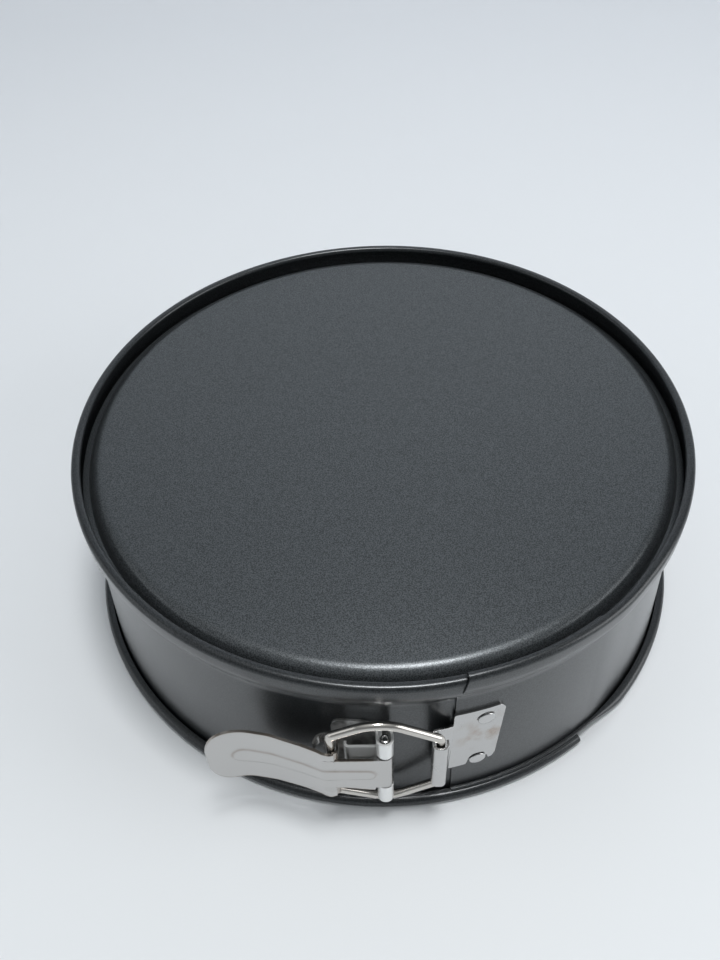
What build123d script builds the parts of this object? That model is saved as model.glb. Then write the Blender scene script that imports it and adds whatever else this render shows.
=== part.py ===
from build123d import *
import math
import os

# Springform pan, standing on its open rim with the base's underside up.
# Z is up, z = 0 is the surface it stands on, the ring's axis is the Z axis.
# The latch is on the -Y side. Millimetres and degrees throughout.
# Azimuths are measured from -Y towards +X.

SHEET = 0.6            # band sheet
HALF = SHEET / 2
R_LIP = 114.5          # inner edge of the bead's lip
LATCH_Z = 36.2         # middle height of the latch
WIRE = 1.4             # bail wire radius

PIN = (-0.5, -122.1)   # lever hinge axis
EYE = (17.4, -121.2)   # bail axis in the strike plate's eye
HOOK = (-18.0, -122.5)  # bail's free end, in the lever's hook

CUT = 11.1             # azimuth of the outer end's cut edge
TUCK = 39.0            # azimuth where the inner end stops
JOG = 44.0             # the outer end is joggled outwards up to here
SLIT = 0.012           # half gap between neighbouring band pieces, degrees


def at(azimuth, radius, z=0.0):
    """Point at an azimuth measured from -Y towards +X."""
    a = math.radians(azimuth)
    return Vector(radius * math.sin(a), -radius * math.cos(a), z)


def strip(points, radii, left, right):
    """Closed XZ face between two offsets of a filleted line of points.

    points are (r, z); radii has one fillet radius per inner point; left and
    right are the offsets to either side of the line, seen along it."""
    n = len(points)
    side = []
    for off in (left, right):
        # off is measured to the right of the travel direction
        edges = []
        start = None
        for i in range(n - 1):
            ax, az = points[i]
            bx, bz = points[i + 1]
            length = math.hypot(bx - ax, bz - az)
            dx, dz = (bx - ax) / length, (bz - az) / length
            if i == 0:
                start = (ax + dz * off, az - dx * off)
            if i == n - 2:
                end = (bx + dz * off, bz - dx * off)
                edges.append(("line", start, end))
                break
            cx, cz = points[i + 2]
            nxt = math.hypot(cx - bx, cz - bz)
            ex, ez = (cx - bx) / nxt, (cz - bz) / nxt
            cross = dx * ez - dz * ex
            turn = math.acos(max(-1.0, min(1.0, dx * ex + dz * ez)))
            rad = radii[i]
            cut = rad * math.tan(turn / 2)
            t0 = (bx - dx * cut, bz - dz * cut)
            t1 = (bx + ex * cut, bz + ez * cut)
            sgn = 1.0 if cross > 0 else -1.0     # +1 turns left
            centre = (t0[0] - dz * rad * sgn, t0[1] + dx * rad * sgn)
            p0 = (t0[0] + dz * off, t0[1] - dx * off)
            p1 = (t1[0] + ez * off, t1[1] - ex * off)
            rr = rad + off * sgn
            mx = (p0[0] + p1[0]) / 2 - centre[0]
            mz = (p0[1] + p1[1]) / 2 - centre[1]
            ml = math.hypot(mx, mz)
            mid = (centre[0] + mx / ml * rr, centre[1] + mz / ml * rr)
            edges.append(("line", start, p0))
            edges.append(("arc", p0, mid, p1))
            start = p1
        side.append(edges)
    lines = []

    def v(p):
        return Vector(p[0], 0, p[1])

    for kind, *pts in side[0]:
        if kind == "line":
            if (v(pts[0]) - v(pts[1])).length > 1e-6:
                lines.append(Edge.make_line(v(pts[0]), v(pts[1])))
        else:
            lines.append(Edge.make_three_point_arc(v(pts[0]), v(pts[1]), v(pts[2])))
    a_start, a_end = side[0][0][1], side[0][-1][2]
    b_start, b_end = side[1][0][1], side[1][-1][2]
    lines.append(Edge.make_line(v(a_end), v(b_end)))
    for kind, *pts in side[1]:
        if kind == "line":
            if (v(pts[0]) - v(pts[1])).length > 1e-6:
                lines.append(Edge.make_line(v(pts[0]), v(pts[1])))
        else:
            lines.append(Edge.make_three_point_arc(v(pts[0]), v(pts[1]), v(pts[2])))
    lines.append(Edge.make_line(v(a_start), v(b_start)))
    return Face(Wire(lines))


def sweep_arc(face, start, stop):
    """Revolve an XZ face about Z from one azimuth to another."""
    solid = Solid.revolve(face, stop - start, Axis.Z)
    return solid.rotate(Axis.Z, start - 90.0)


def one(shape):
    """The single solid in a shape."""
    solids = shape.solids()
    assert len(solids) == 1, len(solids)
    return solids[0]


def cylinder_between(a, b, radius):
    d = b - a
    plane = Plane(origin=a, z_dir=d)
    return Solid.make_cylinder(radius, d.length, plane)


# ---- band profiles ------------------------------------------------------
# middle line of the sheet, from the rolled rim up the wall to the bead's lip
ROLL_R = 1.15
RIM_C = 120.15
FOOT = RIM_C - ROLL_R
WALL_TOP = 114.8
LEDGE = 69.55

TOP_PART = [(WALL_TOP, LEDGE), (117.7, LEDGE), (117.7, 79.2), (R_LIP + HALF, 79.2),
            (R_LIP + HALF, 77.9)]
TOP_RADII = [1.4, 0.9, 1.5, 1.2]
ROLL = [(RIM_C - 0.1, HALF + 2 * ROLL_R), (RIM_C + ROLL_R, HALF + 2 * ROLL_R),
        (RIM_C + ROLL_R, HALF), (FOOT, HALF)]
ROLL_RADII = [1.1, 1.1, 1.1]


def wall_r(z):
    """Radius of the middle of the wall sheet at a height."""
    return FOOT + (WALL_TOP - FOOT) * (z - HALF) / (LEDGE - HALF)


def plain_profile():
    return strip(ROLL + TOP_PART, ROLL_RADII + TOP_RADII, -HALF, HALF)


NEST = 0.15            # gap between the nested ends
OUT_IN = HALF + NEST
OUT_OUT = OUT_IN + SHEET
LIP_Z = 2.72           # middle line height under the outer end's foot lip
# outer end over the inner end: no roll, only a narrow foot lip, and the bead's
# lip stops at the top of the bead
OUTER = ([(wall_r(LIP_Z) + 2.3, LIP_Z), (wall_r(LIP_Z), LIP_Z)] + TOP_PART[:3]
         + [(116.0, 79.2)])
OUTER_RADII = [1.3] + TOP_RADII[:3]


def outer_profile(inner):
    return strip(OUTER, OUTER_RADII, inner, OUT_OUT)


# ---- base plate ---------------------------------------------------------
BASE_T = 0.8
R_FLANGE = 115.4
Z_SEAT = LEDGE + HALF + 0.1
base_line = [(0.0, 75.3 - BASE_T / 2), (111.4, 75.3 - BASE_T / 2),
             (113.0, Z_SEAT + BASE_T / 2), (R_FLANGE, Z_SEAT + BASE_T / 2)]
base_plate = Solid.revolve(strip(base_line, [1.9, 0.9], -BASE_T / 2, BASE_T / 2),
                           360, Axis.Z)

# ---- band ---------------------------------------------------------------
band_left_end = sweep_arc(plain_profile(), CUT - 90 + SLIT, TUCK)
band_left_back = sweep_arc(plain_profile(), CUT - 180 + SLIT, CUT - 90 - SLIT)
band_right_back = sweep_arc(plain_profile(), CUT - 270 + SLIT, CUT - 180 - SLIT)
right_plain = sweep_arc(plain_profile(), JOG + 0.6, CUT + 90 - SLIT)
right_jog = sweep_arc(outer_profile(-HALF), JOG, JOG + 0.6)
right_over = sweep_arc(outer_profile(OUT_IN), CUT, JOG)
band_right_end = one(right_plain + right_jog + right_over)


def plate_on_wall(z0, z1, gap, thick, az0, az1, outer=0.0):
    """Curved plate lying on the cone of the wall."""
    base = HALF + outer + gap
    pts = [(wall_r(z0) + base, z0), (wall_r(z0) + base + thick, z0),
           (wall_r(z1) + base + thick, z1), (wall_r(z1) + base, z1)]
    face = Face(Wire.make_polygon([Vector(r, 0, z) for r, z in pts], close=True))
    return sweep_arc(face, az0, az1)


def rivet(az, z, shank, head, face_r, back_r, tail):
    """Flat rivet on a radial axis: head outside, shank, and a tail inside the
    band or, where the sheets nest, a shank left flush with the sheet."""
    body = cylinder_between(at(az, back_r, z), at(az, face_r + 0.45, z), shank)
    cap = cylinder_between(at(az, face_r - 0.02, z), at(az, face_r + 0.55, z), head)
    cap = cap.chamfer(0.3, None, [cap.edges().sort_by_distance(at(az, face_r + 2, z))[0]])
    if tail:
        body = body + cylinder_between(at(az, back_r - 0.5, z), at(az, back_r, z),
                                       shank + 1.0)
    return one(body + cap)


# ---- hinge bracket ------------------------------------------------------
KNUCKLE_LOW = (LATCH_Z - 20.3, LATCH_Z - 10.9)
KNUCKLE_HIGH = (LATCH_Z + 10.9, LATCH_Z + 20.3)
BRACKET_LOW, BRACKET_HIGH = LATCH_Z - 17.5, LATCH_Z + 22.9
BRACKET_AZ = (-8.9, 1.1)
bracket = plate_on_wall(BRACKET_LOW, BRACKET_HIGH, 0.04, 0.9, *BRACKET_AZ)
corner = 3.0
for az, sx in ((BRACKET_AZ[0], 1), (BRACKET_AZ[1], -1)):
    for z, sz in ((BRACKET_LOW, 1), (BRACKET_HIGH, -1)):
        x = at(az, 117.5).X
        quarter = Solid.make_box(corner + 1, 30, corner + 1).translate(
            Vector(x - 1 if sx > 0 else x - corner, -130, z - 1 if sz > 0 else z - corner))
        keep = Solid.make_cylinder(corner, 40, Plane(
            origin=(x + sx * corner, -135, z + sz * corner), z_dir=(0, 1, 0)))
        bracket = bracket - (quarter - keep)

PIN_R = 1.7
U_IN, U_OUT = 2.05, 2.85
for z0, z1 in (KNUCKLE_LOW, KNUCKLE_HIGH):
    tall = z1 - z0
    outside = Solid.make_cylinder(U_OUT, tall, Plane(origin=(PIN[0], PIN[1], z0)))
    outside = outside + Solid.make_box(2 * U_OUT, 4.9, tall).translate(
        Vector(-U_OUT, PIN[1], z0))
    inside = Solid.make_cylinder(U_IN, tall, Plane(origin=(PIN[0], PIN[1], z0)))
    inside = inside + Solid.make_box(2 * U_IN, 9.0, tall).translate(
        Vector(-U_IN, PIN[1], z0))
    knuckle = outside - inside
    # keep only what is outside the bracket plate's inner face
    wall_cut = plate_on_wall(z0 - 1, z1 + 1, -9.0, 9.1, -12, 12)
    knuckle = knuckle - wall_cut
    bracket = bracket + knuckle
# raised web between the two knuckles, joined to their inner legs
wall_cut = plate_on_wall(12, 55, -9.0, 9.1, -12, 12)
for x, dx, y, dy, half in ((-13.9, 10.0, -120.85, 0.9, 11.6), (-13.9, 0.9, -120.8, 3.2, 10.0),
                           (-4.9, 1.65, -120.85, 0.9, 11.6)):
    piece = Solid.make_box(dx, dy, 2 * half).translate(Vector(x, y, LATCH_Z - half))
    bracket = bracket + (piece - wall_cut)

RIVETS_LEFT = [(-5.4, LATCH_Z + 13.2), (-5.4, LATCH_Z - 13.2)]
RIVETS_RIGHT = [(16.3, LATCH_Z + 13.9), (15.4, LATCH_Z - 11.9)]
SHANK = 1.6
for az, z in RIVETS_LEFT:
    hole = cylinder_between(at(az, 105, z), at(az, 125, z), SHANK + 0.05)
    bracket = bracket - hole
    band_left_end = band_left_end - hole
bracket = one(bracket)
band_left_end = one(band_left_end)


def face_radius(z, extra):
    return wall_r(z) + HALF + extra


left_rivets = [rivet(az, z, SHANK, 2.9, face_radius(z, 0.04 + 0.9) + 0.24,
                     wall_r(z) - HALF - 0.2, True) for az, z in RIVETS_LEFT]

# ---- hinge pin ----------------------------------------------------------
pin = Solid.make_cylinder(PIN_R, 40.2, Plane(origin=(PIN[0], PIN[1], LATCH_Z - 20.1)))
pin = pin.fillet(0.5, pin.edges().filter_by(GeomType.CIRCLE))

# ---- strike plate -------------------------------------------------------
STRIKE_LOW, STRIKE_HIGH = LATCH_Z - 14.2, LATCH_Z + 20.0
STRIKE_FAR = CUT + 8.5
strike = plate_on_wall(STRIKE_LOW, STRIKE_HIGH, 0.04, 0.9, CUT - 0.3, STRIKE_FAR,
                       outer=NEST + SHEET)
eye_low, eye_high = LATCH_Z - 14.8, LATCH_Z + 13.0
EYE_OUT, EYE_IN = 2.6, 1.6
eye_tall = eye_high - eye_low
tube = Solid.make_cylinder(EYE_OUT, eye_tall, Plane(origin=(EYE[0], EYE[1], eye_low)))
# leaf from the eye back to the plate, two sheet thicknesses
root_point = at(CUT + 1.5, 118.5)
leaf_dir = Vector(root_point.X - EYE[0], root_point.Y - EYE[1], 0)
leaf_plane = Plane(origin=(EYE[0], EYE[1], eye_low), x_dir=leaf_dir, z_dir=(0, 0, 1))
leaf = Solid.make_box(leaf_dir.length, 1.9, eye_tall, leaf_plane)
leaf = leaf.translate(leaf_plane.y_dir * -1.1)
clear = plate_on_wall(eye_low - 2, eye_high + 2, -9.0, 9.0 + 0.2, 5, 20,
                      outer=NEST + SHEET)
strike = strike + (leaf - clear) + tube
strike = strike - Solid.make_cylinder(EYE_IN, eye_tall + 2,
                                      Plane(origin=(EYE[0], EYE[1], eye_low - 1)))
# the far edge leans in towards the bottom, and its two corners are clipped
far_top = at(STRIKE_FAR, 117.7).X
LEAN = 2.3
for corner_line in (
        [(far_top, STRIKE_HIGH + 0.5), (far_top + 9, STRIKE_HIGH + 0.5),
         (far_top + 9, STRIKE_LOW - 0.5), (far_top - LEAN, STRIKE_LOW - 0.5)],
        [(far_top + 1, STRIKE_HIGH + 0.5), (far_top - 3.2, STRIKE_HIGH + 0.5),
         (far_top + 1, STRIKE_HIGH - 3.6)],
        [(far_top + 1, STRIKE_LOW - 0.5), (far_top - LEAN - 1.6, STRIKE_LOW - 0.5),
         (far_top + 1, STRIKE_LOW + 4.6)]):
    waste = Face(Wire.make_polygon([Vector(x, -130, z) for x, z in corner_line], close=True))
    strike = strike - Solid.extrude(waste, Vector(0, 30, 0))
for az, z in RIVETS_RIGHT:
    hole = cylinder_between(at(az, 105, z), at(az, 125, z), SHANK + 0.05)
    strike = strike - hole
    band_right_end = band_right_end - hole
strike = one(strike)
band_right_end = one(band_right_end)
right_rivets = [rivet(az, z, SHANK, 3.1,
                      face_radius(z, NEST + SHEET + 0.04 + 0.9) + 0.24,
                      wall_r(z) + OUT_IN + 0.1, False) for az, z in RIVETS_RIGHT]

# ---- wire bail ----------------------------------------------------------
bail_dir = Vector(EYE[0] - HOOK[0], EYE[1] - HOOK[1], 0)
bail_len = bail_dir.length
u = bail_dir.normalized()


def bail_point(along, z):
    return Vector(HOOK[0] + u.X * along, HOOK[1] + u.Y * along, LATCH_Z + z)


# the loop's corners, hook side first; the two middle ones are wide bends
HOOK_Z, EYE_Z, PEAK_Z = (-17.3, 17.6), (-18.0, 15.9), (-27.0, 28.0)
corners = [bail_point(0, HOOK_Z[0]), bail_point(0, HOOK_Z[1]),
           bail_point(bail_len * 0.49, PEAK_Z[1]), bail_point(bail_len, EYE_Z[1]),
           bail_point(bail_len, EYE_Z[0]), bail_point(bail_len * 0.56, PEAK_Z[0])]
bends = [2.6, 2.6, 12.0, 2.6, 2.6, 12.0]
path = []
ends = []
for i, p in enumerate(corners):
    before = (corners[i - 1] - p).normalized()
    after = (corners[(i + 1) % 6] - p).normalized()
    half = math.acos(max(-1, min(1, before.dot(after)))) / 2
    reach = bends[i] / math.tan(half)
    centre = p + (before + after).normalized() * (bends[i] / math.sin(half))
    mid = centre + (p - centre).normalized() * bends[i]
    ends.append((p + before * reach, mid, p + after * reach))
for i in range(6):
    path.append(Edge.make_three_point_arc(*ends[i]))
    path.append(Edge.make_line(ends[i][2], ends[(i + 1) % 6][0]))
# swept in two halves that meet at the straight sides
start = (ends[0][2] + ends[1][0]) / 2
finish = (ends[3][2] + ends[4][0]) / 2
upper = Wire([Edge.make_line(start, ends[1][0]), path[2], path[3], path[4], path[5],
              path[6], Edge.make_line(ends[3][2], finish)])
lower = Wire([Edge.make_line(finish, ends[4][0]), path[8], path[9], path[10], path[11],
              path[0], Edge.make_line(ends[0][2], start)])
halves = []
for wire, origin, way in ((upper, start, Vector(0, 0, 1)), (lower, finish, Vector(0, 0, -1))):
    ring = Face(Wire.make_circle(WIRE, Plane(origin=origin, z_dir=way)))
    halves.append(Solid.sweep(ring, wire))
wire_bail = one(halves[0] + halves[1])

# ---- lever --------------------------------------------------------------
LEVER_T = 0.9
PLATE_Y = -2.4         # middle of the plate at the pin, from the pin's axis
lever_line = [(0.0, PLATE_Y), (-20.3, PLATE_Y), (-27.0, 0.3), (-37.5, 3.7),
              (-47.5, 5.5), (-60.0, 3.1)]
lever_radii = [3.5, 12.0, 20.0, 20.0]
flat = strip(lever_line, lever_radii, -LEVER_T / 2, LEVER_T / 2)
# the strip is drawn in XZ; turn it so that its second coordinate runs along Y
sheet = Solid.extrude(flat.rotate(Axis.X, -90), Vector(0, 0, 60))
sheet = sheet.mirror(Plane.XZ) if sheet.bounding_box().max.Y < 3.0 else sheet
sheet = sheet.translate(Vector(PIN[0], PIN[1], LATCH_Z - 30))

NARROW, WIDE = 10.0, 15.6
TAB_X = -15.2          # near edge of the two wide tabs
upper_pts = [(4.0, NARROW), (TAB_X, NARROW), (TAB_X, WIDE), (-30.0, WIDE), (-49.0, 16.1)]
tip = (-60.0, 0.0)


def xz(p):
    return Vector(PIN[0] + p[0], -170, LATCH_Z + p[1])


edge_list = []
for a, b in zip(upper_pts, upper_pts[1:]):
    edge_list.append(Edge.make_line(xz(a), xz(b)))
mirror_pts = [(x, -z) for x, z in upper_pts]
edge_list.append(Edge.make_three_point_arc(xz(upper_pts[-1]), xz(tip), xz(mirror_pts[-1])))
for a, b in zip(mirror_pts[::-1], mirror_pts[::-1][1:]):
    edge_list.append(Edge.make_line(xz(a), xz(b)))
edge_list.append(Edge.make_line(xz(mirror_pts[0]), xz(upper_pts[0])))
cookie = Solid.extrude(Face(Wire(edge_list)), Vector(0, 100, 0))
lever = sheet & cookie
lever = one(lever)
barrel = Solid.make_cylinder(2.85, 2 * NARROW, Plane(origin=(PIN[0], PIN[1], LATCH_Z - NARROW)))
lever = lever + barrel
lever = lever - Solid.make_cylinder(1.78, 2 * NARROW + 4,
                                    Plane(origin=(PIN[0], PIN[1], LATCH_Z - NARROW - 2)))
# short lips on the two wide tabs that hold the bail's wire from slipping inwards
for z0 in (LATCH_Z + NARROW - 0.5, LATCH_Z - WIDE):
    lever = lever + Solid.make_box(0.8, 1.15, WIDE - NARROW + 0.5).translate(
        Vector(PIN[0] + TAB_X - 0.8, PIN[1] + PLATE_Y - 0.2, z0))
lever = one(lever)

# ---- export -------------------------------------------------------------
parts = {
    "base_plate": base_plate,
    "band_left_end": band_left_end,
    "band_left_back": band_left_back,
    "band_right_back": band_right_back,
    "band_right_end": band_right_end,
    "hinge_bracket": bracket,
    "bracket_rivets": Compound(children=left_rivets),
    "hinge_pin": pin,
    "lever": lever,
    "wire_bail": wire_bail,
    "strike_plate": strike,
    "strike_rivets": Compound(children=right_rivets),
}
os.makedirs("parts", exist_ok=True)
for name, shape in parts.items():
    export_step(shape, f"parts/{name}.step")
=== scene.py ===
"""Looks of the springform pan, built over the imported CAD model.

The pan stands upside down on its open rim. Z is up and the ring's axis is the Z axis.
Shapes and places are in millimetres, and MM turns them into metres. Lights, shaders
and Blender's own settings are in metres. Azimuths are degrees from -Y towards +X.
"""
import math

import bmesh
import bpy
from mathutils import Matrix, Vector


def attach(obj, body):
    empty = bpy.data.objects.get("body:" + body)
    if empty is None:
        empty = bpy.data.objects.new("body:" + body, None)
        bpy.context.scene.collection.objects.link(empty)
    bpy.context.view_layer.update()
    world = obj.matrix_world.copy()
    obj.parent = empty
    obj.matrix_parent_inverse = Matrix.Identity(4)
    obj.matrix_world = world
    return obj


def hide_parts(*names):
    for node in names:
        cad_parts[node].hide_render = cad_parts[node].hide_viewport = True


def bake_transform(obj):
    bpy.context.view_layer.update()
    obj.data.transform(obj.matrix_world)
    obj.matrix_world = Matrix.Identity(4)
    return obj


MM = 0.001
UP = Vector((0, 0, 1))
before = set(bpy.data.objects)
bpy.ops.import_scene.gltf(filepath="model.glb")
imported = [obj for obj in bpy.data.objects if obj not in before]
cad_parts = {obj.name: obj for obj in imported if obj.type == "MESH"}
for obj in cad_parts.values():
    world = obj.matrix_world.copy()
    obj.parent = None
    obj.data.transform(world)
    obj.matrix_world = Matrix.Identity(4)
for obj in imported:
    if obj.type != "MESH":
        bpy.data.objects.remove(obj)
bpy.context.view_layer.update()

# Places and sizes that are the same as the CAD part's
LATCH_Z = 36.2                       # middle height of the latch
PIN = (-0.5, -122.1)                 # the lever's hinge axis
EYE = (17.4, -121.2)                 # the bail's axis, in the strike plate's eye
HOOK = (-18.0, -122.5)               # the bail's free end, in the lever's hook
PIN_R, PIN_HALF = 1.7, 20.1
HALF = 0.3                           # half the band's sheet
BASE_HALF = 0.4                      # half the base plate's sheet
LATCH_SHEET = 0.9                    # lever, bracket and strike plate
CUT = 11.1                           # azimuth of the outer end's cut edge
LEDGE = 69.55                        # height where the groove bead stands out
R_LIP = 114.5                        # inner edge of the bead's lip

# Sizes that differ a little from the CAD part's, for looks
LOOP_SHEET, CURL_SHEET = 0.8, 0.7    # eye and knuckles; the lever's curls
WIRE_R = 1.5
TUCK = 36.8                          # azimuth that the inner end stops at
FOOT, WALL_SLOPE = 117.28, 0.0412    # the wall's radius at its foot, and its lean
RIM_OUT, ROLL_TOP, ROLL_R = 121.3, 4.2, 1.95

SHARP = math.radians(38)             # edges that bend more than this stay sharp


# ---------------------------------------------------------------- camera
CAM_BACK, CAM_Z = 252.5, 320.4       # back from the axis, and height
CAM_PITCH, CAM_YAW, CAM_ROLL = 47.67, -1.68, -2.44
CAM_SIDE = -0.15                     # azimuth of the camera's place


def aim_camera():
    cam = bpy.data.objects.new("camera", bpy.data.cameras.new("camera"))
    bpy.context.scene.collection.objects.link(cam)
    cam.data.lens = 33.75
    cam.data.sensor_width = 36.0
    side = math.radians(CAM_SIDE)
    cam.location = Vector((CAM_BACK * math.sin(side), -CAM_BACK * math.cos(side),
                           CAM_Z)) * MM
    pitch, yaw = math.radians(CAM_PITCH), math.radians(CAM_YAW + CAM_SIDE)
    roll = math.radians(CAM_ROLL)
    look = Vector((math.sin(yaw) * math.cos(pitch), math.cos(yaw) * math.cos(pitch),
                   -math.sin(pitch)))
    level = Vector((math.cos(yaw), -math.sin(yaw), 0))
    upright = level.cross(look)
    turn = cam.matrix_world.to_3x3()
    turn.col[0] = level * math.cos(roll) + upright * math.sin(roll)
    turn.col[1] = upright * math.cos(roll) - level * math.sin(roll)
    turn.col[2] = -look
    cam.rotation_mode = "QUATERNION"
    cam.rotation_quaternion = turn.to_quaternion()
    cam.data.clip_start, cam.data.clip_end = 0.01, 10.0
    bpy.context.scene.camera = cam


aim_camera()


# ---------------------------------------------------------------- materials
def new_material(name):
    mat = bpy.data.materials.new(name)
    mat.use_nodes = True
    shader = mat.node_tree.nodes["Principled BSDF"]
    return mat, mat.node_tree.nodes, mat.node_tree.links, shader


def ramp(nodes, stops):
    """Colour ramp through (place, colour) stops."""
    node = nodes.new("ShaderNodeValToRGB")
    elements = node.color_ramp.elements
    while len(elements) < len(stops):
        elements.new(0.5)
    for element, (place, colour) in zip(elements, stops):
        element.position = place
        element.color = (*colour, 1.0)
    return node


def noise(nodes, links, where, scale, detail):
    node = nodes.new("ShaderNodeTexNoise")
    node.inputs["Scale"].default_value = scale
    node.inputs["Detail"].default_value = detail
    links.new(where.outputs["Object"], node.inputs["Vector"])
    return node


def times(nodes, links, first, second):
    """Product of a socket and another socket or a number."""
    node = nodes.new("ShaderNodeMath")
    node.operation = "MULTIPLY"
    links.new(first, node.inputs[0])
    if isinstance(second, float):
        node.inputs[1].default_value = second
    else:
        links.new(second, node.inputs[1])
    return node.outputs["Value"]


def colour_mix(nodes, links, shader, amount, second):
    """Mix towards a second colour that feeds the shader's colour; A is left to fill."""
    node = nodes.new("ShaderNodeMix")
    node.data_type = "RGBA"
    node.inputs["B"].default_value = (*second, 1.0)
    links.new(amount, node.inputs["Factor"])
    links.new(node.outputs["Result"], shader.inputs["Base Color"])
    return node


GRAIN_SCALE, SPOT_SCALE = 2500.0, 1700.0


def coating(name, dark, light, rough, gloss, fleck):
    """Dark non-stick coating with a fine metallic fleck."""
    mat, nodes, links, shader = new_material(name)
    where = nodes.new("ShaderNodeTexCoord")
    fine = noise(nodes, links, where, GRAIN_SCALE, 2.0)
    grain = ramp(nodes, [(0.40, dark), (0.60, light)])
    links.new(fine.outputs["Fac"], grain.inputs["Fac"])
    spots = nodes.new("ShaderNodeTexVoronoi")
    spots.inputs["Scale"].default_value = SPOT_SCALE
    links.new(where.outputs["Object"], spots.inputs["Vector"])
    pick = ramp(nodes, [(0.0, (1, 1, 1)), (0.16, (0, 0, 0))])
    links.new(spots.outputs["Distance"], pick.inputs["Fac"])
    amount = times(nodes, links, pick.outputs["Color"], 0.45 * fleck)
    bright = tuple(2.4 * c for c in light)
    mix = colour_mix(nodes, links, shader, amount, bright)
    links.new(grain.outputs["Color"], mix.inputs["A"])
    shader.inputs["Metallic"].default_value = 0.55
    shader.inputs["Roughness"].default_value = rough
    shader.inputs["Coat Weight"].default_value = gloss
    shader.inputs["Coat Roughness"].default_value = 0.2
    bump = nodes.new("ShaderNodeBump")
    bump.inputs["Strength"].default_value = 0.42 * fleck
    bump.inputs["Distance"].default_value = 0.0001
    links.new(fine.outputs["Fac"], bump.inputs["Height"])
    links.new(bump.outputs["Normal"], shader.inputs["Normal"])
    return mat


def steel_with_painted_shade(name, colour, painted_shade, rough, metallic=1.0):
    """Plated steel that is drawn in a second, darker colour where a mesh attribute is high;
    that colour is painted shade.
    """
    mat, nodes, links, shader = new_material(name)
    shader.inputs["Metallic"].default_value = metallic
    shader.inputs["Roughness"].default_value = rough
    cloud = noise(nodes, links, nodes.new("ShaderNodeTexCoord"), 220.0, 5.0)
    broken = ramp(nodes, [(0.35, (0.6,) * 3), (0.6, (1.0,) * 3)])
    links.new(cloud.outputs["Fac"], broken.inputs["Fac"])
    mark = nodes.new("ShaderNodeAttribute")
    mark.attribute_name = "painted_shade"
    amount = times(nodes, links, mark.outputs["Fac"], broken.outputs["Color"])
    mix = colour_mix(nodes, links, shader, amount, painted_shade)
    mix.inputs["A"].default_value = (*colour, 1.0)
    return mat


def bright_steel(name, colour, rough, stain=None):
    """Plated steel; stain is the (strength, centre, reach) of a brown cloud, in metres."""
    mat, nodes, links, shader = new_material(name)
    shader.inputs["Metallic"].default_value = 1.0
    where = nodes.new("ShaderNodeTexCoord")
    cloud = noise(nodes, links, where, 160.0, 6.0)
    worn = ramp(nodes, [(0.3, (rough * 0.8,) * 3), (0.75, (rough * 1.35,) * 3)])
    links.new(cloud.outputs["Fac"], worn.inputs["Fac"])
    links.new(worn.outputs["Color"], shader.inputs["Roughness"])
    if stain is None:
        shader.inputs["Base Color"].default_value = (*colour, 1.0)
        return mat
    strength, centre, reach = stain
    away = nodes.new("ShaderNodeVectorMath")
    away.operation = "DISTANCE"
    away.inputs[1].default_value = centre
    links.new(where.outputs["Object"], away.inputs[0])
    near = nodes.new("ShaderNodeMapRange")
    near.inputs["From Min"].default_value = reach * 0.2
    near.inputs["From Max"].default_value = reach
    near.inputs["To Min"].default_value = 1.0
    near.inputs["To Max"].default_value = 0.0
    links.new(away.outputs["Value"], near.inputs["Value"])
    patch = ramp(nodes, [(0.45, (0, 0, 0)), (0.62, (strength,) * 3)])
    links.new(cloud.outputs["Fac"], patch.inputs["Fac"])
    amount = times(nodes, links, near.outputs["Result"], patch.outputs["Color"])
    mix = colour_mix(nodes, links, shader, amount, (0.33, 0.22, 0.14))
    mix.inputs["A"].default_value = (*colour, 1.0)
    return mat


DISC = coating("coating_disc", (0.032, 0.036, 0.039), (0.090, 0.099, 0.105), 0.31, 0.22, 1.0)
BAND = coating("coating_band", (0.012, 0.0135, 0.015), (0.038, 0.042, 0.045), 0.29, 0.42,
               0.7)
STEEL = bright_steel("latch_steel", (0.57, 0.565, 0.56), 0.17)
WIRE_STEEL = bright_steel("wire_steel", (0.62, 0.59, 0.55), 0.16)
STRIKE = bright_steel("strike_steel", (0.545, 0.54, 0.535), 0.22,
                      (0.5, (0.0335, -0.1145, 0.041), 0.013))
# the lever's brown second colour is painted shade along the rib's outline and the plate's edge
LEVER = steel_with_painted_shade("lever_steel", (0.53, 0.52, 0.51), (0.27, 0.215, 0.165), 0.2)
# the bracket's pale, half-metallic steel is painted light that brightens the web and knuckles;
# its dark second colour is painted shade on the plate
BRACKET_LIT_AND_SHADED = steel_with_painted_shade("bracket_steel_painted_light_and_shade", (0.90, 0.90, 0.89), (0.20, 0.20, 0.195), 0.17, 0.5)


# ---------------------------------------------------------------- mesh helpers
def smooth(t):
    """0 to 1 with soft ends."""
    t = min(1.0, max(0.0, t))
    return t * t * (3 - 2 * t)


def at(azimuth, radius, z=0.0):
    a = math.radians(azimuth)
    return Vector((radius * math.sin(a), -radius * math.cos(a), z))


def make(name, points, faces, mat):
    mesh = bpy.data.meshes.new(name)
    mesh.from_pydata([Vector(p) * MM for p in points], [], faces)
    mesh.materials.append(mat)
    mesh.validate()
    mesh.update()
    obj = bpy.data.objects.new(name, mesh)
    bpy.context.scene.collection.objects.link(obj)
    for poly in mesh.polygons:
        poly.use_smooth = True
    mesh.set_sharp_from_angle(angle=SHARP)
    return obj


def grid_faces(rows, cols, close_cols=False, close_rows=False):
    """Quads of a grid of points that is stored row by row."""
    faces = []
    for i in range(rows if close_rows else rows - 1):
        for j in range(cols if close_cols else cols - 1):
            i2, j2 = (i + 1) % rows, (j + 1) % cols
            faces.append((i * cols + j, i * cols + j2, i2 * cols + j2, i2 * cols + j))
    return faces


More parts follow.
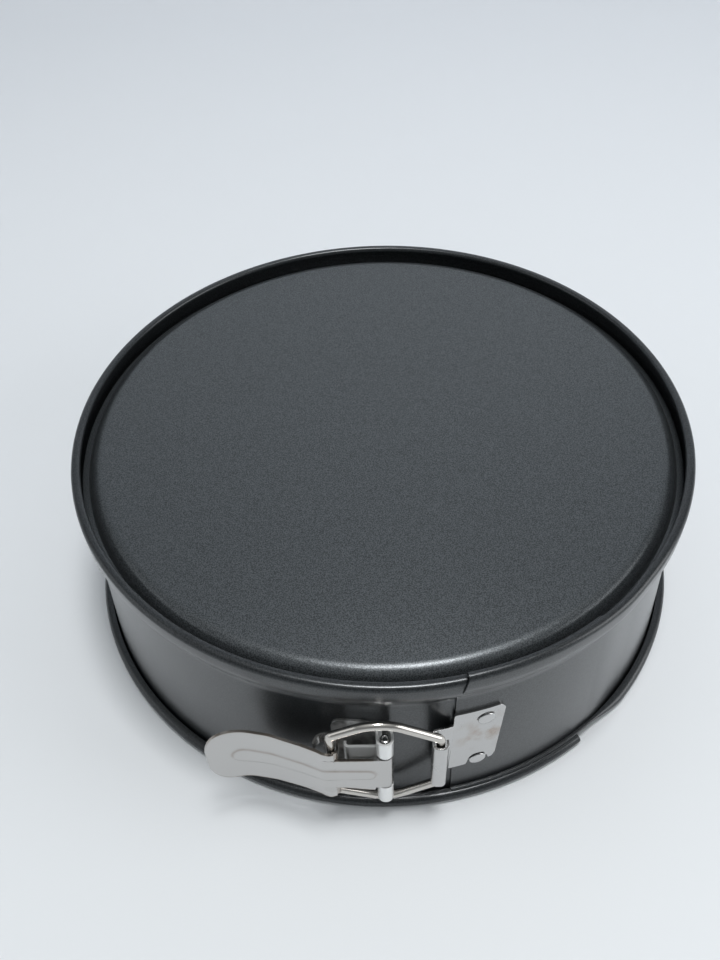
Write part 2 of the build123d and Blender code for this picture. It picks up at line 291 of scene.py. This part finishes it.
def filleted(points, radii, offset, steps=8):
    """Points along a filleted line, moved sideways to the right by an offset."""
    out = []
    last = len(points) - 1
    for i, (x, z) in enumerate(points):
        if i in (0, last):
            a, b = (points[0], points[1]) if i == 0 else (points[-2], points[-1])
            way = Vector((b[0] - a[0], b[1] - a[1])).normalized()
            out.append((x + way.y * offset, z - way.x * offset))
            continue
        corner = Vector((x, z))
        before = (corner - Vector(points[i - 1])).normalized()
        after = (Vector(points[i + 1]) - corner).normalized()
        turn = math.acos(max(-1.0, min(1.0, before.dot(after))))
        side = 1.0 if before.x * after.y - before.y * after.x > 0 else -1.0
        radius = radii[i - 1]
        centre = (corner - before * (radius * math.tan(turn / 2))
                  + Vector((-before.y, before.x)) * radius * side)
        start = Vector((before.y, -before.x)) * side
        for k in range(steps + 1):
            angle = turn * k / steps * side
            c, s = math.cos(angle), math.sin(angle)
            spoke = Vector((start.x * c - start.y * s, start.x * s + start.y * c))
            out.append(tuple(centre + spoke * (radius + offset * side)))
    return out


def section(points, radii, half):
    """Closed cross-section of a folded sheet: one side out, the other back."""
    return filleted(points, radii, -half) + filleted(points, radii, half)[::-1]


def turned(name, sections, azimuths, mat, warp, ends=True):
    """Sweeps sections, one per azimuth, round the Z axis."""
    pts = [at(*warp(azimuth, r, z))
           for sec, azimuth in zip(sections, azimuths) for r, z in sec]
    rows, cols = len(azimuths), len(sections[0])
    faces = grid_faces(rows, cols, close_cols=True)
    if ends:
        last = (rows - 1) * cols
        for k in range(cols // 2 - 1):
            cap = (k, k + 1, cols - 2 - k, cols - 1 - k)
            faces.append(cap[::-1])
            faces.append(tuple(last + v for v in cap))
    return make(name, pts, faces, mat)


def lathe(origin, way, profile, around):
    """Points and faces of a body of revolution; profile is (radius, height) points
    that start and end on the axis."""
    way = way.normalized()
    side = way.orthogonal().normalized()
    other = way.cross(side)
    ring = profile[1:-1]
    pts = [origin + way * profile[0][1]]
    for r, h in ring:
        for k in range(around):
            a = 2 * math.pi * k / around
            pts.append(origin + way * h + (side * math.cos(a) + other * math.sin(a)) * r)
    pts.append(origin + way * profile[-1][1])
    end = len(pts) - 1
    last = end - around
    faces = []
    for k in range(around):
        k2 = (k + 1) % around
        faces.append((0, 1 + k2, 1 + k))
        for i in range(len(ring) - 1):
            a, b = 1 + i * around, 1 + (i + 1) * around
            faces.append((a + k, a + k2, b + k2, b + k))
        faces.append((last + k, last + k2, end))
    return pts, faces


def sheet_grid(stations, count, low, high, place, thick, dent=None):
    """Points and faces of a bent sheet.

    place(u, z) gives the middle surface and its outward normal; low(u) and
    high(u) bound it; dent(u, z) moves both faces along the normal."""
    pts = []
    for side in (0.5, -0.5):
        for u in stations:
            for k in range(count + 1):
                z = low(u) + (high(u) - low(u)) * k / count
                middle, normal = place(u, z)
                shift = dent(u, z) if dent else 0.0
                pts.append(middle + normal * (side * thick + shift))
    rows, cols = len(stations), count + 1
    front = grid_faces(rows, cols)
    back = rows * cols
    faces = front + [tuple(v + back for v in face[::-1]) for face in front]
    rim = [i * cols for i in range(rows)]
    rim += [(rows - 1) * cols + k for k in range(1, cols)]
    rim += [i * cols + cols - 1 for i in range(rows - 2, -1, -1)]
    rim += list(range(cols - 2, 0, -1))
    for a, b in zip(rim, rim[1:] + rim[:1]):
        faces.append((a, a + back, b + back, b))
    return pts, faces


def join(name, pieces, mat, edge=0.0):
    """One object from several (points, faces) pieces, its sharp edges rounded by edge."""
    pts, faces = [], []
    for piece_pts, piece_faces in pieces:
        base = len(pts)
        pts += piece_pts
        faces += [tuple(v + base for v in face) for face in piece_faces]
    obj = make(name, pts, faces, mat)
    bm = bmesh.new()
    bm.from_mesh(obj.data)
    bmesh.ops.recalc_face_normals(bm, faces=bm.faces)
    bm.to_mesh(obj.data)
    bm.free()
    obj.data.set_sharp_from_angle(angle=SHARP)
    if edge:
        bevel = obj.modifiers.new("edge", "BEVEL")
        bevel.width = edge * MM
        bevel.segments = 2
        bevel.limit_method = "ANGLE"
        bevel.angle_limit = math.radians(40)
    return obj


def paint_shade_points(obj, amount):
    """Fills the attribute of painted shade from amount(x, y, z)."""
    painted_shade = obj.data.attributes.new("painted_shade", "FLOAT", "POINT")
    for i, vert in enumerate(obj.data.vertices):
        painted_shade.data[i].value = amount(*(vert.co / MM))


def plan_path(points, radii, step=0.45):
    """Filleted plan line as (point, normal) stations about step apart; the normal
    is to the left of the travel direction."""
    line = [Vector(p) for p in filleted(points, radii, 0.0, 16)]
    raw = []
    for a, b in zip(line, line[1:]):
        run = b - a
        if run.length < 1e-6:
            continue
        count = max(1, round(run.length / step))
        way = run.normalized()
        raw += [(a + run * k / count, Vector((-way.y, way.x))) for k in range(count)]
    raw.append((line[-1], raw[-1][1]))
    # the normals are averaged so that the sheet bends smoothly
    out = []
    for i, (point, _) in enumerate(raw):
        total = Vector((0, 0))
        for _, normal in raw[max(0, i - 1):i + 2]:
            total += normal
        out.append((point, total.normalized()))
    return out


def on_path(path, origin):
    """place() for sheet_grid over a plan path; u is the station's number."""
    def place(u, z):
        p, n = path[u]
        return Vector((origin[0] + p.x, origin[1] + p.y, z)), Vector((n.x, n.y, 0))
    return place


def wall_r(z):
    """Radius of the middle of the wall's sheet."""
    return FOOT - WALL_SLOPE * (z - HALF)


def on_wall(extra):
    """place() for sheet_grid on the wall's cone; u is an azimuth."""
    lean = math.atan(WALL_SLOPE)

    def place(azimuth, z):
        normal = at(azimuth, math.cos(lean)) + UP * math.sin(lean)
        return at(azimuth, wall_r(z) + extra, z), normal
    return place


# ---------------------------------------------------------------- base plate
# Middle line of the sheet: raised middle, its side, and the flange in the groove
BASE_LINE = [(0.0, 75.7), (110.6, 75.7), (112.6, 70.4), (115.4, 70.4)]
BASE_RADII = [6.0, 0.9]


def build_base():
    profile = section(BASE_LINE, BASE_RADII, BASE_HALF)
    disc = join("base_disc", [lathe(Vector((0, 0, 0)), UP, profile, 288)], DISC)
    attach(disc, "base")
    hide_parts("base_plate")


build_base()


# ---------------------------------------------------------------- band
# Middle line of the sheet: rolled rim, then the wall and the groove bead. PRESSED is
# how the outer end's roll is flattened so that it fits inside the other end's.
ROLL = [(118.2, ROLL_TOP), (RIM_OUT, ROLL_TOP), (RIM_OUT, HALF), (FOOT, HALF)]
PRESSED = [(117.7, 5.9), (118.6, 5.9), (118.6, 5.2), (117.13, 5.2)]
PRESSED_R = 0.3
BEAD = [(wall_r(66.0), 66.0), (117.75, 71.3), (117.75, 79.2)]
BEAD_LIP = [(R_LIP + HALF, 79.2), (R_LIP + HALF, 77.9)]
BEAD_RADII = [10.4, 10.4, 1.5, 0.85]
NEST = 0.78                          # the outer end's step outwards
NEST_SPAN = 12.5                     # degrees past TUCK that the step reaches
DROP, LIFT = 1.1, 1.0                # the beads' mismatch in height at the cut
OVAL = 1.6                           # the open rim is wider from side to side
ARC = 90                             # degrees between the band's hinges


def band_section(t=0.0):
    """Band section; t moves it outwards by the step and presses its rolled rim."""
    roll = [(a[0] + (b[0] - a[0]) * t, a[1] + (b[1] - a[1]) * t)
            for a, b in zip(ROLL, PRESSED)]
    radii = [ROLL_R + (PRESSED_R - ROLL_R) * t] * 3 + BEAD_RADII
    nest = NEST * t
    lip = [(r + 0.6 * nest, z) for r, z in BEAD_LIP]
    return [(r + nest, z + nest * smooth((z - 40) / 20))
            for r, z in section(roll + BEAD + lip, radii, HALF)]


def widen(azimuth, r, z):
    side = math.sin(math.radians(azimuth)) ** 4
    return r + OVAL * side * smooth((LEDGE - z) / LEDGE)


def plain_warp(azimuth, r, z):
    return azimuth, widen(azimuth, r, z), z


def left_warp(azimuth, r, z):
    """The inner end's bead drops towards the cut."""
    near = smooth((azimuth - CUT + 30) / 28)
    return azimuth, widen(azimuth, r, z), z - DROP * near * smooth((z - 62) / 8)


def right_warp(azimuth, r, z):
    """The outer end's bead rises towards the cut, and is cut back from its wall."""
    near = smooth((CUT + 32 - azimuth) / 30)
    back = (0.3 + 0.85 * (z - LEDGE) / 10) * max(0.0, 1 - (azimuth - CUT) / 9)
    back *= smooth((z - LEDGE + 2.0) / 2.2)
    return azimuth + back, widen(azimuth, r, z), z + LIFT * near * smooth((z - 62) / 8)


def steps_between(a, b, step):
    count = max(2, int(round(abs(b - a) / step)))
    return [a + (b - a) * i / count for i in range(count + 1)]


def build_band():
    plain = band_section()
    # three lengths that span the hinges, then the two ends
    for i, (name, first, second, node) in enumerate((
            ("band_bend_left", "left_end", "left_back", "band_left_back"),
            ("band_bend_back", "left_back", "right_back", "band_right_back"),
            ("band_bend_right", "right_back", "right_end", None))):
        start = CUT - ARC / 2 - ARC * i
        azimuths = steps_between(start, start - ARC, 0.75)
        piece = turned(name, [plain] * len(azimuths), azimuths, BAND, plain_warp, False)
        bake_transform(piece)
        if node:
            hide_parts(node)
    azimuths = steps_between(TUCK, CUT - ARC / 2, 0.75)
    left = turned("band_left", [plain] * len(azimuths), azimuths, BAND, left_warp)
    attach(left, "left_end")
    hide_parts("band_left_end")
    azimuths = steps_between(CUT, CUT + ARC / 2, 0.5)
    nested = [band_section(smooth((TUCK + NEST_SPAN - az) / 10.0)) for az in azimuths]
    right = turned("band_right", nested, azimuths, BAND, right_warp)
    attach(right, "right_end")
    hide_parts("band_right_end")


build_band()


# ---------------------------------------------------------------- lever
# Local plan line, from the rolled barrel to the finger end
PLATE_Y = -2.4
BARREL_R = 2.4
LEVER_LINE = [(0.0, PLATE_Y), (-20.3, PLATE_Y), (-27.0, 0.3), (-37.5, 3.7),
              (-47.5, 5.5), (-60.0, 3.1)]
LEVER_RADII = [3.5, 12.0, 20.0, 20.0]
NARROW, WIDE, FLARE = 10.0, 15.6, 0.55
TAB_X, TIP_X, BLUNT_X = -16.4, -60.0, -50.0
RIB_LEFT, RIB_RIGHT = -47.0, -6.0
# the curl at a tab's right edge, which runs round behind the wire
CURL_LINE = [(TAB_X - 0.6, PLATE_Y), (-15.3, PLATE_Y), (-15.3, 4.4), (-22.9, 4.4),
             (-22.9, 0.9)]
CURL_RADII = [1.5, 3.2, 3.2]
CURL_LOW, CURL_HIGH = 10.4, 15.1     # up or down from the latch's middle


def lever_half(x, low_side):
    """Half width of the lever at a local x; the two sides differ a little."""
    if x > TAB_X:
        lean = 1.9 * smooth((x + 14.0) / 11.0) if low_side and x < -3.2 else 0.0
        return NARROW + lean
    if x > BLUNT_X:
        return WIDE + FLARE * smooth((-28.0 - x) / 12.0) - 0.5 * smooth((x + 19.0) / 2.4)
    end = min(1.0, (x - BLUNT_X) / (TIP_X - BLUNT_X))
    return (WIDE + FLARE) * (1.0 - end ** 2.6) ** (1 / 2.2)


def rib_gap(x, z):
    """Distance outwards from the outline of the rib along the lever's middle."""
    t = min(1.0, max(0.0, (x - RIB_LEFT) / (RIB_RIGHT - RIB_LEFT)))
    return math.hypot(x - RIB_LEFT - (RIB_RIGHT - RIB_LEFT) * t, z) - (4.4 - 1.3 * t)


def lever_painted_shade(x, y, z):
    """Painted shade: brownish lines along the rib's outline and the plate's outer edge,
    standing in for the shading of the relief.
    """
    x, z = x - PIN[0], z - LATCH_Z
    line = math.exp(-((rib_gap(x, z) + 0.2) / 0.42) ** 2)
    edge = smooth((abs(z) - lever_half(x, z < 0) + 0.7) / 0.7) if x < -4 else 0.0
    return min(1.0, 0.6 * line + 0.75 * edge)


def build_lever():
    barrel = []
    for k in range(25):
        a = math.radians(140 - 230 * k / 24)
        spoke = Vector((math.cos(a), math.sin(a)))
        barrel.append((spoke * BARREL_R, spoke))
    plate = plan_path(LEVER_LINE, LEVER_RADII)[1:]
    # two stations close together make the step at the tabs, and none is at the tip
    path = barrel + [s for s in plate if s[0].x > TAB_X + 0.3]
    path += [(Vector((TAB_X + x, PLATE_Y)), Vector((0, -1))) for x in (0.02, -0.02)]
    path += [s for s in plate if TIP_X + 0.05 < s[0].x < TAB_X - 0.3]

    def dent(u, z):
        """The shallow pressed rib, and the tabs' bulge over the wire."""
        if u <= len(barrel):
            return 0.0
        x, z = path[u][0].x, z - LATCH_Z
        bulge = smooth((abs(z) - 9.5) / 2.5) * math.exp(-((x + 18.2) / 2.0) ** 2)
        return 0.42 * smooth(0.5 - rib_gap(x, z) / 1.3) + 0.75 * bulge

    pieces = [sheet_grid(range(len(path)), 84,
                         lambda u: LATCH_Z - lever_half(path[u][0].x, True),
                         lambda u: LATCH_Z + lever_half(path[u][0].x, False),
                         on_path(path, PIN), LATCH_SHEET, dent)]
    curl = plan_path(CURL_LINE, CURL_RADII, 0.3)
    for way in (1, -1):
        inner, outer = LATCH_Z + way * CURL_LOW, LATCH_Z + way * CURL_HIGH
        pieces.append(sheet_grid(range(len(curl)), 8, lambda u, v=inner: v,
                                 lambda u, v=outer: v, on_path(curl, PIN), CURL_SHEET))
    lever = join("lever_plate", pieces, LEVER, 0.12)
    paint_shade_points(lever, lever_painted_shade)
    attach(lever, "lever")
    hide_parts("lever")


build_lever()


# ---------------------------------------------------------------- wire bail
# Lowest and highest point at the hook, at the eye and at the two bends between them
HOOK_Z, EYE_Z, PEAK_Z = (-15.2, 22.6), (-13.5, 17.4), (-24.6, 30.6)
BEND, LOW_BEND, HIGH_BEND = 2.6, 12.0, 15.0


def tube(points, radius, around=20):
    """Points and faces of a closed flat loop of round wire."""
    pts = []
    count = len(points)
    flat = (points[count // 4] - points[0]).cross(points[count // 2] - points[0])
    flat.normalize()
    for i, p in enumerate(points):
        way = (points[(i + 1) % count] - points[i - 1]).normalized()
        side = way.cross(flat).normalized()
        for k in range(around):
            a = 2 * math.pi * k / around
            pts.append(p + side * (radius * math.cos(a)) + flat * (radius * math.sin(a)))
    return pts, grid_faces(count, around, close_cols=True, close_rows=True)


def build_bail():
    along = Vector((EYE[0] - HOOK[0], EYE[1] - HOOK[1], 0))

    def point(part, z):
        return Vector((*HOOK, LATCH_Z + z)) + along * part

    corners = [point(0, HOOK_Z[0]), point(0, HOOK_Z[1]), point(0.45, PEAK_Z[1]),
               point(1, EYE_Z[1]), point(1, EYE_Z[0]), point(0.52, PEAK_Z[0])]
    bends = [BEND, BEND, HIGH_BEND, BEND, BEND, LOW_BEND]
    line = []
    for i, corner in enumerate(corners):
        before = (corners[i - 1] - corner).normalized()
        after = (corners[(i + 1) % 6] - corner).normalized()
        half = before.angle(after) / 2
        centre = corner + (before + after).normalized() * (bends[i] / math.sin(half))
        reach = bends[i] / math.tan(half)
        a, b = corner + before * reach - centre, corner + after * reach - centre
        turn = a.angle(b)
        steps = max(4, round(turn * bends[i] / 0.5))
        for k in range(steps + 1):
            t = turn * k / steps
            line.append(centre + (a * math.sin(turn - t) + b * math.sin(t)) / math.sin(turn))
    # points along the straight runs between the bends
    loop = []
    for a, b in zip(line, line[1:] + line[:1]):
        count = max(1, round((b - a).length / 1.5))
        loop += [a + (b - a) * k / count for k in range(count)]
    bail = join("bail_wire", [tube(loop, WIRE_R)], WIRE_STEEL)
    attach(bail, "bail")
    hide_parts("wire_bail")


build_bail()


# ---------------------------------------------------------------- rivets
# Azimuth and height of each rivet
RIVET_LEFT = [(-5.4, LATCH_Z + 13.2), (-5.4, LATCH_Z - 13.2)]
RIVET_RIGHT = [(16.3, LATCH_Z + 13.9), (15.4, LATCH_Z - 11.9)]
SHANK_R = 1.6
# from the middle of the wall to the back of a plate on the inner or the outer end
ON_INNER, ON_OUTER = HALF + 0.04, HALF + 0.79


def rivet_body(az, z, radius, base, tail):
    """Flat head with a rounded rim, a shank and, on the inner end, a pressed tail."""
    inside = -(HALF + 0.75) if tail else 0.5
    profile = [(0, base + 0.42), (radius * 0.75, base + 0.40), (radius - 0.35, base + 0.34),
               (radius - 0.1, base + 0.2), (radius, base), (SHANK_R, base),
               (SHANK_R, inside)]
    if tail:
        profile += [(2.6, inside), (2.5, inside - 0.4), (0, inside - 0.5)]
    else:
        profile += [(0, inside)]
    return lathe(at(az, wall_r(z), z), at(az, 1.0), profile, 40)


def build_rivets():
    for name, body, spots, radius, base, tail, node in (
            ("bracket_rivet_heads", "left_end", RIVET_LEFT, 2.9, ON_INNER, True,
             "bracket_rivets"),
            ("strike_rivet_heads", "right_end", RIVET_RIGHT, 3.05, ON_OUTER, False,
             "strike_rivets")):
        heads = join(name, [rivet_body(az, z, radius, base + LATCH_SHEET, tail)
                            for az, z in spots], STEEL)
        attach(heads, body)
        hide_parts(node)


build_rivets()


# ---------------------------------------------------------------- strike plate
STRIKE_LOW, STRIKE_HIGH = LATCH_Z - 14.6, LATCH_Z + 20.1
STRIKE_LEFT, STRIKE_RIGHT = (10.35, 10.85), (18.35, 19.6)    # azimuths, low and high
STRIKE_COLUMNS = 56
STRIKE_R = 120                       # radius that lengths along the plate are taken at
EYE_LINE = [(-2.2, 2.35), (-2.3, -2.25), (2.3, -2.25), (2.3, 1.0)]
EYE_RADII = [1.7, 1.7, 1.7]


def build_strike():
    def azimuth(u, z):
        t = (z - STRIKE_LOW) / (STRIKE_HIGH - STRIKE_LOW)
        left = STRIKE_LEFT[0] + (STRIKE_LEFT[1] - STRIKE_LEFT[0]) * t
        right = STRIKE_RIGHT[0] + (STRIKE_RIGHT[1] - STRIKE_RIGHT[0]) * t
        return left + (right - left) * u / STRIKE_COLUMNS

    def from_rivet(u, z, rivet):
        """Distance along the wall from a rivet's axis."""
        return abs(math.radians(azimuth(u, z) - rivet[0]) * STRIKE_R)

    def low(u):
        """Bottom edge, with a clipped corner and a notch under the lower rivet."""
        t = u / STRIKE_COLUMNS
        z = STRIKE_LOW + 1.5 * t + 2.2 * smooth((t - 0.93) / 0.07)
        rivet = RIVET_RIGHT[1]
        away = from_rivet(u, rivet[1], rivet)
        if away < 4.6:
            z = max(z, rivet[1] + 0.4 - 3.4 * smooth((away - 3.4) / 1.2))
        return z

    def high(u):
        t = u / STRIKE_COLUMNS
        return (STRIKE_HIGH - 2.6 * max(0.0, (t - 0.86) / 0.14) ** 2
                - 0.5 * smooth((0.03 - t) / 0.03))

    def dent(u, z):
        """A faint ring round each rivet's head."""
        return -0.22 * sum(
            math.exp(-((math.hypot(from_rivet(u, z, rivet), z - rivet[1]) - 3.3) / 0.35) ** 2)
            for rivet in RIVET_RIGHT)

    wall = on_wall(ON_OUTER + LATCH_SHEET / 2)
    plate = sheet_grid(range(STRIKE_COLUMNS + 1), 96, low, high,
                       lambda u, z: wall(azimuth(u, z), z), LATCH_SHEET, dent)
    # the eye: from the plate's edge behind the wire, round its left side to the front
    root = at(10.7, wall_r(LATCH_Z) + ON_OUTER + 0.45)
    line = plan_path([(root.x - EYE[0], root.y - EYE[1])] + EYE_LINE, EYE_RADII, 0.3)
    last = len(line) - 1

    def eye_low(u):
        return LATCH_Z - 12.6 - 1.6 * smooth(1 - u / last * 2.2)

    def eye_high(u):
        t = u / last
        return LATCH_Z + 14.8 + 3.2 * smooth(t / 0.3) * smooth((0.56 - t) / 0.2)

    eye = sheet_grid(range(len(line)), 12, eye_low, eye_high, on_path(line, EYE), LOOP_SHEET)
    strike = join("strike_catch", [plate, eye], STRIKE, 0.1)
    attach(strike, "right_end")
    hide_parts("strike_plate")


build_strike()


# ---------------------------------------------------------------- hinge bracket and pin
BRACKET_LOW, BRACKET_HIGH = LATCH_Z - 17.5, LATCH_Z + 19.4
BRACKET_AZ = (-8.9, 1.1)
BRACKET_COLUMNS, BRACKET_CORNER = 40, 4.2
BRACKET_R = 118                      # radius that the plate's width is taken at
WEB_LINE = [(-13.5, -117.7), (-13.5, -120.4), (-3.3, -120.4)]
WEB_HALF = 11.6
KNUCKLE_LINE = [(-1.2, 4.6), (-2.45, 2.6), (-2.45, -2.45), (2.45, -2.45), (2.45, 1.2),
                (1.3, 4.4)]
KNUCKLE_RADII = [1.0, 2.3, 2.3, 2.0]
KNUCKLE_LOW, KNUCKLE_HIGH = 10.9, 20.3    # up or down from the latch's middle


def bracket_painted_shade(x, y, z):
    """Painted shade: the plate behind the wire and the lever is drawn darker than its web and
    its knuckles.
    """
    return smooth((2.4 - (math.hypot(x, y) - wall_r(z))) / 0.8)


def build_bracket():
    span = BRACKET_AZ[1] - BRACKET_AZ[0]
    width = math.radians(span) * BRACKET_R

    def inset(u):
        """How far the rounded corners cut in at a column."""
        edge = min(u, BRACKET_COLUMNS - u) / BRACKET_COLUMNS * width
        short = max(0.0, BRACKET_CORNER - edge)
        return BRACKET_CORNER - math.sqrt(BRACKET_CORNER ** 2 - short ** 2)

    def top(u):
        return BRACKET_HIGH - inset(u) - 3.4 * smooth((u / BRACKET_COLUMNS - 0.5) / 0.35)

    wall = on_wall(ON_INNER + LATCH_SHEET / 2)
    pieces = [sheet_grid(range(BRACKET_COLUMNS + 1), 30, lambda u: BRACKET_LOW + inset(u),
                         top, lambda u, z: wall(BRACKET_AZ[0] + span * u / BRACKET_COLUMNS, z),
                         LATCH_SHEET)]
    # raised web, bent down to the plate on its left side and run to the knuckles
    web = plan_path(WEB_LINE, [1.3], 0.4)
    pieces.append(sheet_grid(range(len(web)), 10, lambda u: LATCH_Z - WEB_HALF,
                             lambda u: LATCH_Z + WEB_HALF - 1.6 * smooth(1 - u / 8),
                             on_path(web, (0, 0)), LATCH_SHEET))
    knuckle = plan_path(KNUCKLE_LINE, KNUCKLE_RADII, 0.35)

    def tongue(u):
        """The lower knuckle ends in a rounded tongue."""
        return (LATCH_Z - KNUCKLE_HIGH
                - 1.9 * math.sin(math.pi * u / (len(knuckle) - 1)) ** 2)

    for inner, outer in ((LATCH_Z + KNUCKLE_LOW, lambda u: LATCH_Z + KNUCKLE_HIGH),
                         (LATCH_Z - KNUCKLE_LOW, tongue)):
        pieces.append(sheet_grid(range(len(knuckle)), 12, lambda u, v=inner: v, outer,
                                 on_path(knuckle, PIN), LOOP_SHEET))
    bracket = join("hinge_plate", pieces, BRACKET_LIT_AND_SHADED, 0.12)
    paint_shade_points(bracket, bracket_painted_shade)
    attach(bracket, "left_end")
    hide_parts("hinge_bracket")


def build_pin():
    profile = [(0, PIN_HALF - 0.55), (0.7, PIN_HALF - 0.5), (1.05, PIN_HALF),
               (1.45, PIN_HALF - 0.12), (PIN_R, PIN_HALF - 0.6), (PIN_R, 0),
               (PIN_R, 0.6 - PIN_HALF), (1.3, -PIN_HALF), (0, -PIN_HALF)]
    pin = join("pin_body", [lathe(Vector((*PIN, LATCH_Z)), UP, profile, 28)], STEEL)
    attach(pin, "left_end")
    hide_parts("hinge_pin")


build_bracket()
build_pin()


# ---------------------------------------------------------------- stage
FLOOR_FRONT, FLOOR_SIDE = -1300, 1700
BACKDROP_Y, BACKDROP_TOP, BACKDROP_R = 870, 2200, 250


def build_stage():
    """Pale floor that curves up behind the pan; its colour darkens a little towards the back,
    which is painted shade.
    """
    mat, nodes, links, shader = new_material("floor")
    shader.inputs["Roughness"].default_value = 0.6
    split = nodes.new("ShaderNodeSeparateXYZ")
    links.new(nodes.new("ShaderNodeTexCoord").outputs["Object"], split.inputs["Vector"])
    span = nodes.new("ShaderNodeMapRange")
    span.inputs["From Min"].default_value = -0.15
    span.inputs["From Max"].default_value = 0.75
    links.new(split.outputs["Y"], span.inputs["Value"])
    # painted shade: the floor's colour is darker further back
    shade = ramp(nodes, [(0.0, (0.745, 0.765, 0.78)), (1.0, (0.675, 0.70, 0.735))])
    links.new(span.outputs["Result"], shade.inputs["Fac"])
    links.new(shade.outputs["Color"], shader.inputs["Base Color"])
    line = [(FLOOR_FRONT, 0)]
    for k in range(13):
        a = math.pi / 2 * k / 12
        line.append((BACKDROP_Y - BACKDROP_R * (1 - math.sin(a)),
                     BACKDROP_R * (1 - math.cos(a))))
    line.append((BACKDROP_Y, BACKDROP_TOP))
    pts = [(x, y, z) for y, z in line for x in (-FLOOR_SIDE, FLOOR_SIDE)]
    make("floor", pts, grid_faces(len(line), 2), mat)


def area_light(name, place, size, power, colour):
    """Square lamp aimed at the origin; its place and size are in metres."""
    data = bpy.data.lights.new(name, "AREA")
    data.energy = power
    data.color = colour
    data.size = size
    lamp = bpy.data.objects.new(name, data)
    bpy.context.scene.collection.objects.link(lamp)
    lamp.location = place
    lamp.rotation_mode = "QUATERNION"
    lamp.rotation_quaternion = (-Vector(place)).to_track_quat("-Z", "Y")


def build_sky():
    """Soft room light: bright overhead, dimmer lower down, pale at the horizon."""
    world = bpy.data.worlds.new("world")
    bpy.context.scene.world = world
    world.use_nodes = True
    nodes, links = world.node_tree.nodes, world.node_tree.links
    background = nodes["Background"]
    split = nodes.new("ShaderNodeSeparateXYZ")
    links.new(nodes.new("ShaderNodeTexCoord").outputs["Generated"], split.inputs["Vector"])
    sky = ramp(nodes, [(0.0, (1.12, 1.19, 1.24)), (0.12, (0.95, 1.0, 1.04)),
                       (0.38, (0.36, 0.38, 0.395)), (0.72, (0.47, 0.50, 0.52)),
                       (0.93, (0.95, 0.99, 1.0))])
    links.new(split.outputs["Z"], sky.inputs["Fac"])
    links.new(sky.outputs["Color"], background.inputs["Color"])
    background.inputs["Strength"].default_value = 0.52


build_stage()
area_light("overhead", (0.12, -0.10, 1.5), 0.34, 12.5, (0.98, 0.99, 1.0))
area_light("window", (-1.3, -0.2, 0.7), 0.9, 1.8, (0.97, 0.99, 1.0))
area_light("wall_bounce", (1.3, -0.3, 0.6), 0.9, 6.5, (0.98, 0.99, 1.0))
build_sky()
bpy.context.scene.view_settings.view_transform = "Standard"
